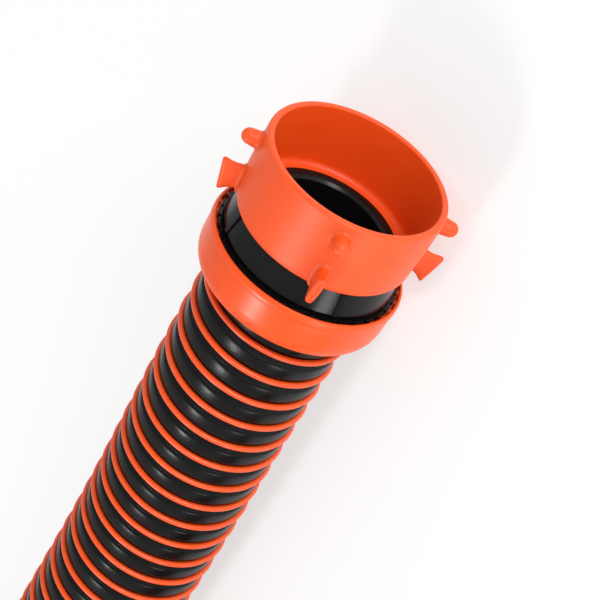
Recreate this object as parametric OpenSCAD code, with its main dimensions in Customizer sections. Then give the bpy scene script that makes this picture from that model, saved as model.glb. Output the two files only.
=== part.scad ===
// Sewer hose kit for a recreational vehicle: a corrugated 3 inch drain hose, 15 ft long, with a
// swivelling lug fitting on one end and a swivelling bayonet fitting on the other.
// Millimetres. The origin is the centre of the lug fitting's mouth, +X points out of that mouth
// and +Z is up. The whole kit lies on a flat surface, and the spare hose lies in one neat coil.

/* [Hose] */
// Outside diameter of the hose over its spiral bead
hose_d = 86.4; // [60:0.2:110]
// Mean wall of the hose, as a plain tube of the same weight
hose_wall = 1.7; // [0.8:0.1:4]
// Whole length of the hose, end to end (15 ft)
hose_len = 4570; // [3000:10:6200]

/* [Swivel fittings] */
// Bore of the waste passage through both fittings
bore_d = 66; // [50:1:76]
// Diameter of the sleeve neck that both couplers turn on
neck_d = 76; // [60:1:90]
// Radial running clearance of a coupler on its neck
swivel_gap = 0.06; // [0.02:0.01:0.1]
// Largest diameter of the clamp collar, on which the fittings rest
collar_d = 108; // [90:1:130]
// Number of ratchet teeth inside the collar's rim
teeth = 36; // [12:1:48]

/* [Lug fitting] */
// Outside diameter of the lug fitting's rim
rim_d = 100; // [80:1:120]
// Inside diameter of the lug fitting's socket
socket_d = 92; // [70:1:110]
// Diameter of a locking post
post_d = 8.5; // [5:0.5:12]
// Distance across the tips of two opposite posts
post_span = 120; // [104:1:140]
// Distance across two opposite grip wings
wing_span = 124; // [104:1:140]

/* [Bayonet fitting] */
// Inside diameter of the bayonet skirt, which takes the rim of a lug fitting
skirt_d = 100.8; // [90:0.1:121]
// Distance across the hooks of the bayonet
hook_span = 121; // [110:1:140]

/* [Strap] */
// Thickness of the strap that ties the coil
strap_t = 1; // [0.8:0.1:2]
// Width of the strap
strap_w = 30; // [15:1:50]

/* [Hidden] */
$fn = 96;
lugs = 4;
first_lug = 45;
orange = [0.93, 0.33, 0.10];
black = [0.05, 0.05, 0.06];
rubber = [0.10, 0.10, 0.11];

bore_r = bore_d / 2;
neck_r = neck_d / 2;
rim_r = rim_d / 2;
socket_r = socket_d / 2;
skirt_r = skirt_d / 2;
collar_r = collar_d / 2;
hose_r = hose_d / 2;
hose_bore_r = hose_r - hose_wall;

// Places along a fitting, measured back from the lug fitting's rim. Both fittings use the same
// ones, so a bayonet's hooks start a little behind this datum.
post_at = 10;
wing_from = 25.6;
wing_to = 46.4;
lip_at = 36.8;
floor_at = 39;
cup_end = 41.5;
base_from = 41.8;
cone_to = 56.2;
rim_at = 57.2;
snap_at = 57.6;
hose_at = 63;
insert_to = 88;
collar_to = 84.5;

// The bayonet's skirt, gasket groove and hooks, on the same datum
skirt_at = 31;
groove_at = 36;
groove_d = 1;
hook_at = 16.5;
hook_t = 5;
hook_sweep = 30;
stem_sweep = 9;

// The surface that the kit lies on, and the height of the hose's axis above the strap
ground = -collar_r;
strap_fit = 0.5;
hose_z = ground + strap_t + strap_fit + hose_r;

// The hose drops from the lug fitting to the surface on these hand set points, [x, height share]
run_end = -675;
run_points = [[-63, 0], [-75, 0], [-90, 0], [-130, 0.06], [-170, 0.24], [-210, 0.5], [-250, 0.76],
              [-290, 0.94], [-330, 1], [-400, 1], [-500, 1], [-600, 1], [run_end, 1]];
// The coil: three arcs in a row, each starting where the last one ends
turn_r = [512, 467, 350];
turn_start = [90, 270, 450];
turn_angle = [180, 180, 120];
turn_y = [-turn_r[0], turn_r[1] - 2 * turn_r[0], 2 * (turn_r[1] - turn_r[0]) - turn_r[2]];
// The tail rises from the coil into the bayonet fitting, [distance, height share]
tail_points = [[0, 1], [10, 1], [35, 0.9], [60, 0.62], [85, 0.3], [110, 0.08], [130, 0], [150, 0]];
tail_len = tail_points[len(tail_points) - 1][0];

coil_end = turn_start[2] + turn_angle[2];
coil_exit = [run_end + turn_r[2] * cos(coil_end), turn_y[2] + turn_r[2] * sin(coil_end), 0];
far_heading = coil_end + 90 - 360;
far_out = [cos(far_heading), sin(far_heading), 0];
far_origin = coil_exit + far_out * (tail_len + hose_at);

arc_len = [for (i = [0 : 2]) turn_r[i] * turn_angle[i] * PI / 180];
whole_len = -run_end - hose_at + arc_len[0] + arc_len[1] + arc_len[2] + tail_len;
echo(hose_length = whole_len, far_origin = far_origin, far_heading = far_heading, hose_z = hose_z);
assert(abs(whole_len - hose_len) < 40, "The route doesn't have the hose's length");

// Corners of the hose's plain tube
sides = 12;
// Distance between the two strands that the strap ties
strand_gap = 2 * (turn_r[0] - turn_r[1]);

// ---- Helpers ----

// Points of an arc in a profile, [place, radius], from angle a to angle b
function arc(c, r, a, b, n = 6) =
    [for (i = [0 : n]) let (t = a + (b - a) * i / n) [c[0] + r * cos(t), c[1] + r * sin(t)]];

// A solid of revolution about the fitting's axis, from a profile of [place, radius] points
module spun(profile) {
    rotate([0, -90, 0])
        rotate_extrude()
            polygon([for (p = profile) [p[1], p[0]]]);
}

// A tube about the fitting's axis between two places
module ring(from, to, r_in, r_out) {
    spun([[from, r_in], [from, r_out], [to, r_out], [to, r_in]]);
}

// Children repeated at the lugs, clear of the surface
module at_lugs() {
    for (i = [0 : lugs - 1])
        rotate([first_lug + i * 360 / lugs, 0, 0])
            children();
}

// Children moved from the lug end's frame to the bayonet end's
module at_far_end() {
    translate(far_origin)
        rotate([0, 0, far_heading])
            children();
}

// ---- Parts of both swivel fittings ----

// Flanged sleeve: the coupler turns on its neck, and its flange holds the coupler on
module sleeve() {
    flange_r = neck_r + 2.2;
    color(black)
        difference() {
            spun([[lip_at + 1.8, bore_r],
                  [lip_at + 0.4, bore_r + 1.6],
                  [lip_at, bore_r + 3],
                  [lip_at, flange_r - 1.2],
                  [lip_at + 0.5, flange_r - 0.3],
                  [lip_at + 1.2, flange_r],
                  [floor_at - 0.1, flange_r],
                  [floor_at - 0.1, neck_r],
                  [hose_at - 3, neck_r],
                  [hose_at - 3, bore_r]]);
            ring(snap_at, snap_at + 2, neck_r - 1.2, neck_r + 1);
        }
}

// Rubber face seal between the turning coupler and the base ring
module seal() {
    color(rubber)
        spun([[cup_end + 0.05, neck_r + 4.4],
              [cup_end + 0.05, neck_r + 5.6],
              [cup_end + 0.6, neck_r + 6.2],
              [base_from + 1.4, neck_r + 6.2],
              [base_from + 1.4, neck_r + 3.8],
              [cup_end + 0.6, neck_r + 3.8]]);
}

// Conical base ring with its ribs, the seal's groove, a ratchet flange and the snap ring's pocket
module base_ring() {
    top_r = neck_r + 8;
    foot_r = neck_r + 10.5;
    flange_r = collar_r - 3.6;
    hub_r = hose_r + 0.2;
    rib_w = 2.6;
    rib_h = 0.9;
    rib_root = 2;
    first_rib = 67;
    cone_slope = atan((foot_r - top_r) / (cone_to - base_from));
    color(black)
        difference() {
            union() {
                spun([[base_from, neck_r],
                      [base_from, top_r - 0.8],
                      [base_from + 0.8, top_r],
                      [cone_to - 0.5, foot_r],
                      [cone_to, foot_r - 0.3],
                      [cone_to, foot_r - 1.8],
                      [rim_at + 0.6, foot_r - 1.8],
                      [rim_at + 0.6, flange_r],
                      [rim_at + 3.4, flange_r],
                      [rim_at + 3.4, hub_r],
                      [hose_at, hub_r],
                      [hose_at, neck_r + 3.4],
                      [snap_at, neck_r + 3.4],
                      [snap_at, neck_r]]);
                for (i = [0 : lugs - 1])
                    rotate([first_rib + i * 360 / lugs, 0, 0])
                        translate([-cone_to, -rib_w / 2, foot_r - rib_root])
                            rotate([0, cone_slope, 0])
                                cube([cone_to - base_from - 1, rib_w, rib_root + rib_h]);
            }
            ring(base_from - 1, base_from + 1.4, neck_r + 3.8, neck_r + 6.2);
            for (i = [0 : teeth - 1])
                rotate([i * 360 / teeth, 0, 0])
                    translate([-rim_at - 4, -1.1, flange_r - 1.2])
                        cube([4, 2.2, 3]);
        }
}

// Split ring that locks the sleeve into the base ring
module snap_ring() {
    color(black)
        difference() {
            ring(snap_at, snap_at + 2, neck_r - 1.2, neck_r + 3.2);
            translate([-snap_at - 3, -4, neck_r - 3])
                cube([4, 8, 10]);
        }
}

// Insert that carries the hose, with a flange welded into the base ring's pocket
module insert() {
    color(black)
        spun([[hose_at - 3, bore_r],
              [hose_at - 3, neck_r + 3.4],
              [hose_at, neck_r + 3.4],
              [hose_at, hose_bore_r - 1.6],
              [insert_to - 3, hose_bore_r - 1.6],
              [insert_to, hose_bore_r - 3.6],
              [insert_to, bore_r + 1],
              [insert_to - 3, bore_r]]);
}

// Wide orange collar that clamps the hose on the insert, toothed inside its rim
module collar() {
    throat_r = hose_r + 0.5;
    rim_in = collar_r - 2;
    tooth_d = 2.2;
    bevel_to = 80.2;
    color(orange) {
        spun(concat(
            [[rim_at + 0.3, rim_in]],
            arc([rim_at + 1, collar_r - 1.3], 1, 180, 90, 4),
            [[rim_at + 2.2, collar_r],
             [rim_at + 4.2, collar_r],
             [rim_at + 5, collar_r - 0.6],
             [bevel_to - 13.2, collar_r - 0.6],
             [bevel_to - 5.2, collar_r - 0.8],
             [bevel_to - 2.2, collar_r - 1.2],
             [bevel_to, collar_r - 2],
             [bevel_to + 1.4, collar_r - 3.2],
             [bevel_to + 2, collar_r - 3.3],
             [bevel_to + 3.2, collar_r - 4.8],
             [collar_to, collar_r - 6.6],
             [collar_to, throat_r],
             [rim_at + 9.8, throat_r],
             [rim_at + 6.8, collar_r - 6],
             [rim_at + 3.8, collar_r - 6],
             [rim_at + 3.8, rim_in]]));
        for (i = [0 : teeth - 1])
            rotate([(i + 0.5) * 360 / teeth, 0, 0])
                translate([-rim_at - 3.8, -tooth_d / 2, rim_in - 1])
                    cube([2.6, tooth_d, 1.4]);
    }
}

// ---- Lug fitting ----

// Tapered post with a round tip, which a bayonet's hook locks over
module post() {
    tip_r = post_span / 2;
    round = post_d / 2;
    translate([-post_at, 0, 0])
        rotate_extrude($fn = 48)
            polygon([for (p = concat(
                [[socket_r + 1.5, 0], [socket_r + 1.5, round + 0.8], [rim_r + 0.8, round + 0.8],
                 [rim_r + 2, round + 0.2]],
                arc([tip_r - round, 0], round, 90, 0, 5)))
                [max(p[1], 0), p[0]]]);
}

// Flat grip wing, in the plane of the axis, that flares outward
module wing() {
    thick = 5.4;
    corner = 2.4;
    tip_r = wing_span / 2;
    outline = concat(
        [[wing_from, socket_r + 1.5]],
        arc([wing_from + 3.4, tip_r - corner], corner, 165, 90, 3),
        [[wing_from + 9, tip_r - 0.2]],
        arc([wing_to - corner - 0.4, tip_r - corner - 3.8], corner, 70, -25, 4),
        [[cup_end - 2.5, rim_r - 0.4],
         [cup_end - 4, socket_r + 1.5]]);
    rotate([90, 0, 180])
        linear_extrude(height = thick, center = true)
            polygon(outline);
}

// Socket with four locking posts and four grip wings, all one moulding
module lug_cup() {
    color(orange)
        union() {
            spun(concat(
                arc([0.9, rim_r - 0.9], 0.9, 180, 100, 3),
                [[2, rim_r],
                 [post_at + post_d, rim_r],
                 [cup_end - 2, rim_r - 1],
                 [cup_end - 1.8, rim_r - 1.6],
                 [cup_end - 0.6, rim_r - 1.9],
                 [cup_end, rim_r - 2.6],
                 [cup_end, neck_r + swivel_gap],
                 [floor_at, neck_r + swivel_gap],
                 [floor_at, neck_r + 3]],
                arc([floor_at - 4, socket_r - 3.4], 3.4, 0, 90, 4),
                [[0, socket_r]]));
            at_lugs() {
                post();
                wing();
            }
        }
}

// ---- Bayonet fitting ----

// A sector of a ring about the fitting's axis
module sector(from, to, r_in, r_out, a, sweep) {
    rotate([0, -90, 0])
        rotate([0, 0, a])
            rotate_extrude(angle = sweep)
                polygon([[r_in, from], [r_out, from], [r_out, to], [r_in, to]]);
}

// Hook: a block with a slot from one side, which leaves a finger to close behind a post
module hook() {
    hook_r = hook_span / 2;
    difference() {
        sector(hook_at, cup_end - 1.5, skirt_r + 1, hook_r, -hook_sweep / 2, hook_sweep);
        sector(hook_at + hook_t, cup_end - 7, skirt_r - 1, hook_r + 1,
               -hook_sweep / 2 - 1, hook_sweep - stem_sweep + 1);
    }
}

// Coupler with four hooks, which locks onto the posts of a lug fitting
module bayonet_coupler() {
    color(orange)
        union() {
            spun([[skirt_at, skirt_r],
                  [skirt_at, skirt_r + 2.6],
                  [skirt_at + 1, skirt_r + 3.2],
                  [cup_end - 1, skirt_r + 3.2],
                  [cup_end, skirt_r + 2.2],
                  [cup_end, neck_r + swivel_gap],
                  [floor_at, neck_r + swivel_gap],
                  [floor_at, skirt_r + groove_d],
                  [groove_at, skirt_r + groove_d],
                  [groove_at, skirt_r]]);
            at_lugs()
                hook();
        }
}

// Rubber gasket in the coupler's groove, which seals against the other fitting's rim
module bayonet_gasket() {
    gasket_r = skirt_r + groove_d - 0.3;
    color(rubber)
        spun([[groove_at + 0.3, neck_r + 4],
              [groove_at + 0.3, gasket_r],
              [floor_at, gasket_r],
              [floor_at, neck_r + 3]]);
}

// ---- Hose ----

// Corners of a ring of the hose, square to the heading [dx, dy, dz], about a centre point
function hose_ring(c, dir, r) =
    let (d = dir / norm(dir), side = cross([0, 0, 1], d) / norm(cross([0, 0, 1], d)), up = cross(d, side))
    [for (k = [0 : sides - 1]) c + r * (cos(k * 360 / sides) * side + sin(k * 360 / sides) * up)];

// Direction of the route at point i: along it at both ends, between its neighbours elsewhere
function heading(p, i) =
    i == 0 ? p[1] - p[0] : i == len(p) - 1 ? p[i] - p[i - 1] : p[i + 1] - p[i - 1];

// A hollow tube along the route p, one closed solid
module hose_tube(p) {
    n = len(p);
    outer = [for (i = [0 : n - 1]) each hose_ring(p[i], heading(p, i), hose_r)];
    inner = [for (i = [0 : n - 1]) each hose_ring(p[i], heading(p, i), hose_bore_r)];
    off = n * sides;
    outer_faces = [for (i = [0 : n - 2], k = [0 : sides - 1])
        let (a = i * sides + k, b = i * sides + (k + 1) % sides)
        [a, b, b + sides, a + sides]];
    inner_faces = [for (f = outer_faces) [f[3] + off, f[2] + off, f[1] + off, f[0] + off]];
    near_end = [for (k = [0 : sides - 1])
        let (b = (k + 1) % sides)
        [k + off, b + off, b, k]];
    last = (n - 1) * sides;
    far_end = [for (k = [0 : sides - 1])
        let (b = (k + 1) % sides)
        [last + k, last + b, last + b + off, last + k + off]];
    polyhedron(concat(outer, inner), concat(outer_faces, inner_faces, near_end, far_end), convexity = 6);
}

module hose_run() {
    color(black)
        hose_tube([for (p = run_points) [p[0], 0, hose_z * p[1]]]);
}

module hose_tail() {
    color(black)
        hose_tube([for (p = tail_points) coil_exit + far_out * p[0] + [0, 0, hose_z * p[1]]]);
}

// Arc i of the coil
module hose_turn(i) {
    color(black)
        translate([run_end, turn_y[i], hose_z])
            rotate([0, 0, turn_start[i]])
                rotate_extrude(angle = turn_angle[i])
                    translate([turn_r[i], 0])
                        difference() {
                            circle(r = hose_r, $fn = 48);
                            circle(r = hose_bore_r, $fn = 48);
                        }
}

// ---- Strap ----

// Outline around both strands of hose, grown by g, in the plane across them
module strands(g) {
    r = hose_r + strap_fit + g;
    for (y = [0, -strand_gap])
        translate([y, hose_z])
            circle(r = r, $fn = 64);
    translate([-strand_gap, hose_z - r])
        square([strand_gap, 2 * r]);
}

module tie_strap() {
    color(black)
        translate([run_end - strap_w / 2, 0, 0])
            rotate([90, 0, 90])
                linear_extrude(height = strap_w)
                    difference() {
                        strands(strap_t);
                        strands(0);
                    }
}

// Keeper that the strap's end is threaded through, on top of the two strands
module tie_keeper() {
    slot_h = strap_t + 0.3;
    top = hose_z + hose_r + strap_fit;
    color(orange)
        translate([run_end, -strand_gap / 2, top - 0.15])
            difference() {
                translate([-strap_w / 2 - 4, -7, -2])
                    cube([strap_w + 8, 14, slot_h + 4]);
                translate([-strap_w / 2 - 0.2, -8, 0])
                    cube([strap_w + 0.4, 16, slot_h]);
            }
}

// ---- The kit ----

lug_cup();
sleeve();  // lug_sleeve
seal();  // lug_seal
base_ring();  // lug_base_ring
snap_ring();  // lug_snap_ring
insert();  // lug_insert
collar();  // lug_collar
at_far_end() bayonet_coupler();
at_far_end() bayonet_gasket();
at_far_end() sleeve();  // bayonet_sleeve
at_far_end() seal();  // bayonet_seal
at_far_end() base_ring();  // bayonet_base_ring
at_far_end() snap_ring();  // bayonet_snap_ring
at_far_end() insert();  // bayonet_insert
at_far_end() collar();  // bayonet_collar
hose_run();
hose_turn(0);  // hose_turn_1
hose_turn(1);  // hose_turn_2
hose_turn(2);  // hose_turn_3
hose_tail();
tie_strap();
tie_keeper();
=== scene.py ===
import math

import bpy
import numpy as np
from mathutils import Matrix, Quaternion, Vector


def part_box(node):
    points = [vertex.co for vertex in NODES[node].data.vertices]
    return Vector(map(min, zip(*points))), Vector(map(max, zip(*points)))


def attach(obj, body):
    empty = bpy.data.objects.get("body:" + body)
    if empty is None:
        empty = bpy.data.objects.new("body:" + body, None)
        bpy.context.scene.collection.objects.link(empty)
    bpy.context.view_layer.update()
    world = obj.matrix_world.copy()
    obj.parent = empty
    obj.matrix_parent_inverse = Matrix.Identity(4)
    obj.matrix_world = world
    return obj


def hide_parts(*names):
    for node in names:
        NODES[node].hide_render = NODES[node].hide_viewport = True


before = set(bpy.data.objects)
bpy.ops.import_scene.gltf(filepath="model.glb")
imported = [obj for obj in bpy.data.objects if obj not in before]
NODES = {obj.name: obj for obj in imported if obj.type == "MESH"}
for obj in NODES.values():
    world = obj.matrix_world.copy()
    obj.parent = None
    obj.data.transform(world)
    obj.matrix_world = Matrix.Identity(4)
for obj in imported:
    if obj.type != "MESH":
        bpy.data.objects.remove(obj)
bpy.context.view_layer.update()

MM = 0.001
UP = Vector((0, 0, 1))
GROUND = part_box("lug_collar")[0].z

# As in the CAD: the hose's start behind the lug fitting's mouth, and the height of its axis
# where it lies on the surface
HOSE_START = 63 * MM
REST_Z = -9.3 * MM

# The spiral's pitch, and how far behind the mouth a turn of it passes over the top of the hose
PITCH = 17.13 * MM
BEAD_PHASE = 76.73 * MM


# ---- Camera ----

def make_camera():
    """A camera that looks down at the lug end, rolled so that the hose runs down to the left."""
    target = Vector((-82.9, -11.2, 0)) * MM
    distance = 1029.6 * MM
    azimuth, elevation, roll = (math.radians(a) for a in (-36.1, 43.65, -101.24))
    back = Vector((
        math.cos(azimuth) * math.cos(elevation),
        math.sin(azimuth) * math.cos(elevation),
        math.sin(elevation),
    ))
    data = bpy.data.cameras.new("camera")
    data.lens = 120
    data.sensor_width = 36
    data.clip_start, data.clip_end = 0.01, 50
    camera = bpy.data.objects.new("camera", data)
    bpy.context.scene.collection.objects.link(camera)
    camera.location = target + back * distance
    camera.rotation_mode = "QUATERNION"
    camera.rotation_quaternion = (-back).to_track_quat("-Z", "Y") @ Quaternion((0, 0, 1), roll)
    bpy.context.scene.camera = camera


# ---- Route of the hose, the same as in the CAD ----

# In mm and degrees: (x, share of the drop to the surface) for the run behind the lug fitting, then
# the coil's three arcs, then (distance, share of the drop) for the tail into the bayonet fitting
RUN_END = -675
RUN_POINTS = [(-63, 0), (-75, 0), (-90, 0), (-130, 0.06), (-170, 0.24), (-210, 0.5), (-250, 0.76),
              (-290, 0.94), (-330, 1), (-400, 1), (-500, 1), (-600, 1), (RUN_END, 1)]
TURN_R = [512, 467, 350]
TURN_START = [90, 270, 450]
TURN_ANGLE = [180, 180, 120]
TURN_Y = [-TURN_R[0], TURN_R[1] - 2 * TURN_R[0], 2 * (TURN_R[1] - TURN_R[0]) - TURN_R[2]]
TAIL_POINTS = [(0, 1), (10, 1), (35, 0.9), (60, 0.62), (85, 0.3), (110, 0.08), (130, 0), (150, 0)]


def through(points, step):
    """Points close together on a smooth curve through the given ones."""
    out = []
    for i in range(len(points) - 1):
        p1, p2 = points[i], points[i + 1]
        before = points[i - 1] if i > 0 else 2 * p1 - p2
        after = points[i + 2] if i + 2 < len(points) else 2 * p2 - p1
        span = (p2 - p1).length
        slope1 = (p2 - before) / (span + (p1 - before).length)
        slope2 = (after - p1) / ((after - p2).length + span)
        count = max(1, round(span / step))
        for k in range(count):
            t = k / count
            place1 = 2 * t ** 3 - 3 * t ** 2 + 1
            turn1 = t ** 3 - 2 * t ** 2 + t
            place2 = -2 * t ** 3 + 3 * t ** 2
            turn2 = t ** 3 - t ** 2
            out.append(place1 * p1 + turn1 * span * slope1 + place2 * p2 + turn2 * span * slope2)
    out.append(points[-1])
    return out


def turn_points(i, step):
    """Points along arc i of the coil."""
    count = round(math.radians(TURN_ANGLE[i]) * TURN_R[i] * MM / step)
    angles = [math.radians(TURN_START[i] + TURN_ANGLE[i] * k / count) for k in range(count + 1)]
    centre = Vector((RUN_END * MM, TURN_Y[i] * MM, REST_Z))
    return [centre + TURN_R[i] * MM * Vector((math.cos(a), math.sin(a), 0)) for a in angles]


def hose_route(step=8 * MM):
    """The hose's whole centreline, from inside the lug fitting to inside the bayonet fitting."""
    run = through([Vector((x * MM, 0, REST_Z * share)) for x, share in RUN_POINTS], step)
    turns = [turn_points(i, step) for i in range(len(TURN_R))]
    coil_exit = turns[-1][-1]
    heading = math.radians(TURN_START[-1] + TURN_ANGLE[-1] + 90)
    out = Vector((math.cos(heading), math.sin(heading), 0))
    level = Vector((coil_exit.x, coil_exit.y, 0))
    tail = through([level + out * d * MM + UP * REST_Z * share for d, share in TAIL_POINTS], step)
    route = run
    for piece in (*turns, tail):
        route = route[:-1] + piece
    return route


class Line:
    """The route by arc length, with places and directions at any distance along it."""

    def __init__(self, points):
        self.p = np.array([tuple(p) for p in points])
        gaps = np.linalg.norm(np.diff(self.p, axis=0), axis=1)
        self.s = np.concatenate([[0], np.cumsum(gaps)])
        self.length = float(self.s[-1])
        self.heading = np.gradient(self.p, self.s, axis=0)

    def at(self, s):
        """Places, sideways and upward directions at the distances s."""
        place = np.stack([np.interp(s, self.s, self.p[:, k]) for k in range(3)], -1)
        ahead = np.stack([np.interp(s, self.s, self.heading[:, k]) for k in range(3)], -1)
        ahead /= np.linalg.norm(ahead, axis=-1, keepdims=True)
        side = np.cross([0.0, 0.0, 1.0], ahead)
        side /= np.linalg.norm(side, axis=-1, keepdims=True)
        return place, side, np.cross(ahead, side)


# ---- Hose ----

# One pitch of the hose's wall: (share of the pitch after the bead, radius in mm)
WALL_FINE = [(0.00, 40.4), (0.12, 40.1), (0.20, 40.0), (0.245, 40.2), (0.265, 40.9), (0.285, 40.9),
             (0.305, 40.4), (0.325, 40.5), (0.345, 41.2), (0.42, 41.42), (0.54, 41.5), (0.68, 41.46),
             (0.80, 41.32), (0.84, 41.1), (0.86, 40.5), (0.93, 40.3)]
WALL_COARSE = [(0.00, 40.3), (0.22, 40.0), (0.265, 40.8), (0.31, 40.4), (0.35, 41.2), (0.56, 41.5),
               (0.82, 41.2), (0.87, 40.3)]
# The bead's half width and half height, and the radius of its middle, in mm
BEAD_WIDE = 1.5
BEAD_HIGH = 1.8
BEAD_AT = 41.4
# The first turns are near the camera, so they have more steps in a turn than the others, and the
# bead's section has more corners there
FINE_TURNS = 27
FINE_STEPS = 84
WALL_STEPS = 32
BEAD_STEPS = 40
FINE_CORNERS = 12
BEAD_CORNERS = 6


def helix_mesh(line, turns, per_turn, section, closed):
    """A left-handed strip wound along the line. Its section lists (share of the pitch, radius in mm)
    points: an open one joins itself a turn later and makes a wall, and a closed one makes a bead.
    Points past the hose's ends are moved back onto them."""
    first, last = turns
    steps = (last - first) * per_turn
    q = first + np.arange(steps + 1) / per_turn
    share = np.array([p[0] for p in section])
    radius = np.array([p[1] for p in section]) * MM
    start = BEAD_PHASE - HOSE_START - PITCH
    s = start + PITCH * (q[:, None] + share[None, :])
    s = np.clip(s, 0, line.length)
    place, side, up = line.at(s)
    angle = 2 * math.pi * q[:, None, None]
    points = place + radius[None, :, None] * (np.cos(angle) * up + np.sin(angle) * side)
    m = len(section)
    index = np.arange((steps + 1) * m).reshape(steps + 1, m)
    if closed:
        grid = np.concatenate([index, index[:, :1]], axis=1)
    else:
        next_turn = index[per_turn:, :1]
        grid = np.concatenate([index[:len(next_turn)], next_turn], axis=1)
    faces = np.stack([grid[:-1, :-1], grid[1:, :-1], grid[1:, 1:], grid[:-1, 1:]], -1)
    return points.reshape(-1, 3), faces.reshape(-1, 4)


def add_mesh(name, parts, sharp=math.pi):
    """One smooth mesh object from several (points, faces) parts, with edges over sharp left crisp."""
    points, faces, offset = [], [], 0
    for p, f in parts:
        points.append(p)
        faces.append(f + offset)
        offset += len(p)
    mesh = bpy.data.meshes.new(name)
    mesh.from_pydata(np.concatenate(points).tolist(), [], np.concatenate(faces).tolist())
    mesh.shade_smooth()
    mesh.set_sharp_from_angle(angle=sharp)
    obj = bpy.data.objects.new(name, mesh)
    bpy.context.scene.collection.objects.link(obj)
    return obj


def bead_section(count):
    """The bead's round section, as (share of the pitch, radius in mm)."""
    angles = [2 * math.pi * k / count for k in range(count)]
    return [(-math.cos(a) * BEAD_WIDE * MM / PITCH, BEAD_AT + BEAD_HIGH * math.sin(a)) for a in angles]


def make_hose():
    """The hose's black wall and its orange spiral bead, finer where the camera is close. Its exit is
    set above the axis, on the insert, because the bore leaves the axis itself far from any part."""
    route = hose_route()
    line = Line(route)
    whole = int(line.length / PITCH) + 1
    wall = add_mesh("hose_wall", [
        helix_mesh(line, (0, FINE_TURNS + 1), FINE_STEPS, WALL_FINE, False),
        helix_mesh(line, (FINE_TURNS, whole + 1), WALL_STEPS, WALL_COARSE, False),
    ])
    bead = add_mesh("hose_bead", [
        helix_mesh(line, (0, FINE_TURNS), FINE_STEPS, bead_section(FINE_CORNERS), True),
        helix_mesh(line, (FINE_TURNS, whole), BEAD_STEPS, bead_section(BEAD_CORNERS), True),
    ])
    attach(wall, "hose")
    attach(bead, "hose")
    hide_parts("hose_run", "hose_turn_1", "hose_turn_2", "hose_turn_3", "hose_tail")
    return wall, bead


# ---- Lug cup ----

# In mm, after the CAD: radii, and places behind the fitting's mouth
RIM_R = 50
SOCKET_R = 46
COUPLER_BORE_R = 38.06
CUP_END = 41.5
FLOOR_AT = 39
TAPER_FROM = 18.5
TAPER_TO = 39
POST_AT = 10
POST_TIP = 60
POST_R = 4.2
WING_HALF = 2.7
LUG_ANGLES = [math.radians(45 + 90 * k) for k in range(4)]
# How far the roots of the posts and wings start inside the cup's wall
SEAM = 0.02


def arc(centre, r, a, b, n=6):
    """Profile points on an arc from angle a to b, in degrees."""
    angles = [math.radians(a + (b - a) * k / n) for k in range(n + 1)]
    return [(centre[0] + r * math.cos(t), centre[1] + r * math.sin(t)) for t in angles]


def held(profile, hold=0.4):
    """The closed profile with points added near the ends of long sides, to keep them flat."""
    out = []
    for (x0, y0), (x1, y1) in zip(profile, profile[1:] + profile[:1]):
        out.append((x0, y0))
        long = math.hypot(x1 - x0, y1 - y0)
        if long > 4 * hold:
            for t in (hold / long, 1 - hold / long):
                out.append((x0 + (x1 - x0) * t, y0 + (y1 - y0) * t))
    return out


def grid_faces(rows, columns, wrap_rows):
    """Quads between rows of a grid of points whose columns wrap round."""
    index = np.arange(rows * columns).reshape(rows, columns)
    lower = index if wrap_rows else index[:-1]
    upper = np.roll(index, -1, axis=0) if wrap_rows else index[1:]
    ahead = np.roll(lower, -1, axis=1)
    return np.stack([lower, ahead, np.roll(upper, -1, axis=1), upper], -1).reshape(-1, 4)


def spun(profile, count=192):
    """A solid about the lug fitting's axis, from a closed profile of (place, radius) in mm."""
    t, r = (np.array(v)[:, None] for v in zip(*profile))
    a = np.arange(count)[None, :] * 2 * math.pi / count
    points = np.stack([-t + 0 * a, -r * np.sin(a), r * np.cos(a)], -1) * MM
    return points.reshape(-1, 3), grid_faces(len(profile), count, True)


def placed(rings, angle):
    """Rings of (place, radius, sideways) in mm, turned to a lug's angle and joined up."""
    t, r, w = (rings[..., k] for k in range(3))
    h = np.sqrt(r ** 2 - w ** 2)
    y = -h * math.sin(angle) - w * math.cos(angle)
    z = h * math.cos(angle) - w * math.sin(angle)
    points = np.stack([-t, y, z], -1) * MM
    return points.reshape(-1, 3), grid_faces(rings.shape[0], rings.shape[1], False)


def wall_radius(t):
    """Radius at which a wing or post meets the cup's wall, which tapers behind the posts."""
    return RIM_R - SEAM - max(0, (t - TAPER_FROM) / (TAPER_TO - TAPER_FROM))


def post_rings(count=32):
    """A locking post with a filleted root, a slight taper and a round tip."""
    root = POST_R + 0.4
    fillet = 2.2
    profile = [(RIM_R - 2, root + fillet)]
    profile += [(RIM_R - SEAM + fillet * (1 + y), root + fillet * (1 - x))
                for x, y in arc((0, 0), 1, -90, 0, 8)]
    profile += [(POST_TIP - POST_R + x, y) for x, y in arc((0, 0), POST_R, 85, 0, 8)]
    a = np.arange(count)[None, :] * 2 * math.pi / count
    r, rho = (np.array(v)[:, None] for v in zip(*profile))
    return np.stack([POST_AT + rho * np.cos(a), r + 0 * a, rho * np.sin(a)], -1)


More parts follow.
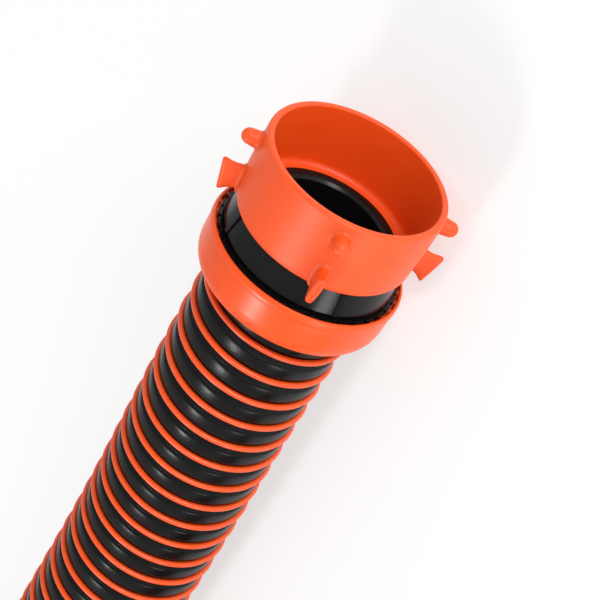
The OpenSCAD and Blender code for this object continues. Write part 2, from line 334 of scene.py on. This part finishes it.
def wing_rings(count=40):
    """A grip wing: waisted, filleted at its root, with round ends and a rounded tip. Its front and
    back edges run from root to tip, as (place, radius)."""
    front = [(26.6, wall_radius(26.6)), (26.9, 62.3)]
    back = [(41.2, wall_radius(TAPER_TO)), (46.7, 57.8)]
    height = 10.5
    root_depth = 2
    fillet = 1.8
    edge = 1.9
    tip_share = 0.98
    waist = 1.1
    end_sharpness = 1.6
    rings = [(-root_depth / height, -fillet)]
    rings += [(fillet / height * (1 + y), -fillet * (1 - x)) for x, y in arc((0, 0), 1, -90, 0, 8)]
    rings += [(s, 0) for s in (0.36, 0.5, 0.64)]
    rings += [(1 - edge / height * (1 - y), edge * (1 - x)) for x, y in arc((0, 0), 1, 0, 90, 7)]
    rings += [(1, tip_share * WING_HALF)]
    a = np.arange(count) * 2 * math.pi / count
    out = []
    for s, inset in rings:
        half = WING_HALF - inset
        bow = waist * math.sin(math.pi * min(max(s, 0), 1))
        t0 = front[0][0] + (front[1][0] - front[0][0]) * s + bow
        t1 = back[0][0] + (back[1][0] - back[0][0]) * s - bow
        r0 = front[0][1] + (front[1][1] - front[0][1]) * s
        r1 = back[0][1] + (back[1][1] - back[0][1]) * s
        middle = (t0 + t1) / 2
        straight = (t1 - t0) / 2 - WING_HALF
        t = middle + straight * np.clip(end_sharpness * np.cos(a), -1, 1) + half * np.cos(a)
        w = half * np.sin(a)
        out.append(np.stack([t, r0 + (r1 - r0) * (t - t0) / (t1 - t0), w], -1))
    return np.array(out)


def make_cup():
    """The lug fitting's cup with its moulded roundings and filleted posts and wings."""
    base_r = RIM_R - 1
    bore_r = COUPLER_BORE_R + 0.1
    profile = held(
        arc((1.5, RIM_R - 1.5), 1.5, 180, 90)
        + [(TAPER_FROM, RIM_R)]
        + arc((CUP_END - 2.8, base_r - 0.6), 0.6, 90, 15, 4)
        + [(CUP_END - 2, base_r - 0.9)]
        + arc((CUP_END - 0.7, base_r - 1.7), 0.7, 80, 0, 4)
        + [(CUP_END, bore_r), (FLOOR_AT, bore_r), (FLOOR_AT, COUPLER_BORE_R + 3)]
        + arc((FLOOR_AT - 4, SOCKET_R - 3.4), 3.4, 0, 90, 8)
        + arc((0.9, SOCKET_R + 1.1), 0.9, 270, 180, 5)
    )
    parts = [spun(profile)]
    parts += [placed(post_rings(), a) for a in LUG_ANGLES]
    parts += [placed(wing_rings(), a) for a in LUG_ANGLES]
    cup = add_mesh("lug_cup_moulded", parts, math.radians(40))
    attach(cup, "lug_coupler")
    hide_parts("lug_cup")
    return cup


# ---- Materials ----

class Graph:
    """A short way to build a material's nodes."""

    def __init__(self, name):
        self.material = bpy.data.materials.new(name)
        self.material.use_nodes = True
        self.tree = self.material.node_tree
        self.shader = self.tree.nodes["Principled BSDF"]

    def put(self, n, key, value):
        if isinstance(value, bpy.types.NodeSocket):
            self.tree.links.new(value, n.inputs[key])
        else:
            n.inputs[key].default_value = value

    def set(self, **values):
        for key, value in values.items():
            self.put(self.shader, key.replace("_", " "), value)

    def node(self, kind, inputs=None, **settings):
        n = self.tree.nodes.new(kind)
        for key, value in settings.items():
            setattr(n, key, value)
        for key, value in (inputs or {}).items():
            self.put(n, key, value)
        return n

    def coords(self):
        return self.node("ShaderNodeTexCoord").outputs["Object"]

    def noise(self, scale, detail):
        n = self.node("ShaderNodeTexNoise", {"Scale": scale, "Detail": detail, "Vector": self.coords()})
        return n.outputs["Fac"]

    def span(self, value, low, high):
        n = self.node("ShaderNodeMapRange", {"Value": value, "To Min": low, "To Max": high})
        return n.outputs["Result"]

    def mix(self, factor, a, b):
        n = self.node("ShaderNodeMix", {"Factor": factor, "A": (*a, 1), "B": (*b, 1)}, data_type="RGBA")
        return n.outputs["Result"]

    def bump(self, height, distance, soft_edges=None):
        n = self.node("ShaderNodeBump", {"Distance": distance, "Height": height})
        if soft_edges:
            edges = self.node("ShaderNodeBevel", {"Radius": soft_edges}, samples=4)
            self.put(n, "Normal", edges.outputs["Normal"])
        return n.outputs["Normal"]


def orange_plastic(name, rough, shine, soft_edges=None):
    """Moulded orange plastic with a little depth of colour and faint flow marks."""
    g = Graph(name)
    clouds = g.noise(14.0, 3.0)
    g.set(
        Base_Color=g.mix(clouds, (0.87, 0.080, 0.004), (0.91, 0.098, 0.007)),
        Roughness=g.span(g.noise(60.0, 4.0), rough, rough + 0.1),
        Normal=g.bump(g.noise(900.0, 3.0), 0.03 * MM, soft_edges),
        Specular_IOR_Level=shine,
        Subsurface_Weight=0.3,
        Subsurface_Radius=(1.0, 0.2, 0.04),
        Subsurface_Scale=2 * MM,
    )
    return g.material


def black_plastic():
    """Glossy moulded black plastic."""
    g = Graph("black_plastic")
    g.set(
        Base_Color=g.mix(g.noise(20.0, 3.0), (0.003, 0.003, 0.0033), (0.006, 0.006, 0.0065)),
        Roughness=g.span(g.noise(120.0, 4.0), 0.14, 0.24),
        Normal=g.bump(g.noise(1200.0, 3.0), 0.03 * MM, 0.4 * MM),
        Specular_IOR_Level=0.2,
    )
    return g.material


def hose_black():
    """Glossy black thermoplastic elastomer, faintly scuffed."""
    g = Graph("hose_black")
    scuffs = g.noise(45.0, 6.0)
    g.set(
        Base_Color=g.mix(scuffs, (0.002, 0.002, 0.0022), (0.005, 0.005, 0.0054)),
        Roughness=g.span(scuffs, 0.2, 0.34),
        Normal=g.bump(g.noise(500.0, 4.0), 0.06 * MM),
        Specular_IOR_Level=0.18,
    )
    return g.material


def seal_rubber():
    """Matt black rubber."""
    g = Graph("seal_rubber")
    g.set(
        Base_Color=g.mix(g.noise(80.0, 4.0), (0.012, 0.012, 0.012), (0.03, 0.03, 0.031)),
        Roughness=g.span(g.noise(300.0, 3.0), 0.6, 0.8),
        Normal=g.bump(g.noise(1500.0, 2.0), 0.05 * MM),
    )
    return g.material


def webbing():
    """Black nylon webbing: ribs across the strap, crossed by a fine weave."""
    g = Graph("webbing")
    place = g.coords()
    ribs = g.node("ShaderNodeTexWave", {"Scale": 330.0, "Vector": place}, bands_direction="Y")
    weave = g.node("ShaderNodeTexWave", {"Scale": 500.0, "Vector": place}, bands_direction="X")
    both = g.node("ShaderNodeMath", {0: ribs.outputs["Fac"], 1: weave.outputs["Fac"]}, operation="MULTIPLY")
    height = both.outputs[0]
    g.set(
        Base_Color=g.mix(height, (0.006, 0.006, 0.007), (0.03, 0.03, 0.034)),
        Roughness=g.span(height, 0.85, 0.6),
        Normal=g.bump(height, 0.3 * MM),
    )
    return g.material


def dress(material, names):
    """Gives CAD nodes a material in place of their own."""
    for name in names:
        obj = NODES[name]
        obj.data.materials.clear()
        obj.data.materials.append(material)


def give(material, obj):
    """Gives a new piece its material."""
    obj.data.materials.append(material)


# ---- Studio ----

def make_floor():
    """A white floor that glows a little, like a lit table, so that shadows on it stay faint."""
    half = 8.0
    mesh = bpy.data.meshes.new("floor")
    z = GROUND - 0.1 * MM
    corners = [(-half, -half, z), (half, -half, z), (half, half, z), (-half, half, z)]
    mesh.from_pydata(corners, [], [(0, 1, 2, 3)])
    floor = bpy.data.objects.new("floor", mesh)
    bpy.context.scene.collection.objects.link(floor)
    g = Graph("floor")
    g.set(
        Base_Color=(0.4, 0.4, 0.4, 1),
        Roughness=0.7,
        Emission_Color=(1, 1, 1, 1),
        Emission_Strength=0.58,
    )
    give(g.material, floor)
    return floor


def make_light(name, direction, distance, size, power):
    """A square softbox that looks at the lug fitting from the given direction."""
    aim = Vector((-100, 0, 0)) * MM
    data = bpy.data.lights.new(name, "AREA")
    data.size = size
    data.energy = power
    light = bpy.data.objects.new(name, data)
    bpy.context.scene.collection.objects.link(light)
    toward = Vector(direction).normalized()
    light.location = aim + toward * distance
    light.rotation_mode = "QUATERNION"
    light.rotation_quaternion = toward.to_track_quat("Z", "Y")
    return light


def make_world():
    """Even white light from all round."""
    world = bpy.data.worlds.new("studio")
    world.use_nodes = True
    background = world.node_tree.nodes["Background"]
    background.inputs["Color"].default_value = (1, 1, 1, 1)
    background.inputs["Strength"].default_value = 0.68
    bpy.context.scene.world = world


def make_studio():
    """The floor and the lights, each with its direction, distance in m, size in m and power in W."""
    make_world()
    lights = [
        make_light("overhead", (-0.585, -0.19, 0.79), 1.8, 0.28, 10),
        make_light("front", (0.82, -0.5, 0.28), 2.2, 0.9, 24),
        make_light("side", (-0.33, -0.93, 0.16), 2.0, 0.55, 9),
    ]
    make_floor()
    view = bpy.context.scene.view_settings
    view.view_transform = "Standard"
    view.look = "None"


make_camera()
hose_wall, hose_bead = make_hose()
cup = make_cup()

give(hose_black(), hose_wall)
give(orange_plastic("orange_bead", 0.26, 0.6), hose_bead)
give(orange_plastic("orange_satin", 0.4, 0.46), cup)
dress(orange_plastic("orange_gloss", 0.28, 0.38, 0.7 * MM),
      ["lug_cup", "lug_collar", "bayonet_coupler", "bayonet_collar", "tie_keeper"])
dress(black_plastic(),
      [f"{fitting}_{part}" for fitting in ("lug", "bayonet")
       for part in ("sleeve", "base_ring", "snap_ring", "insert")])
dress(seal_rubber(), ["lug_seal", "bayonet_seal", "bayonet_gasket"])
dress(webbing(), ["tie_strap"])
make_studio()
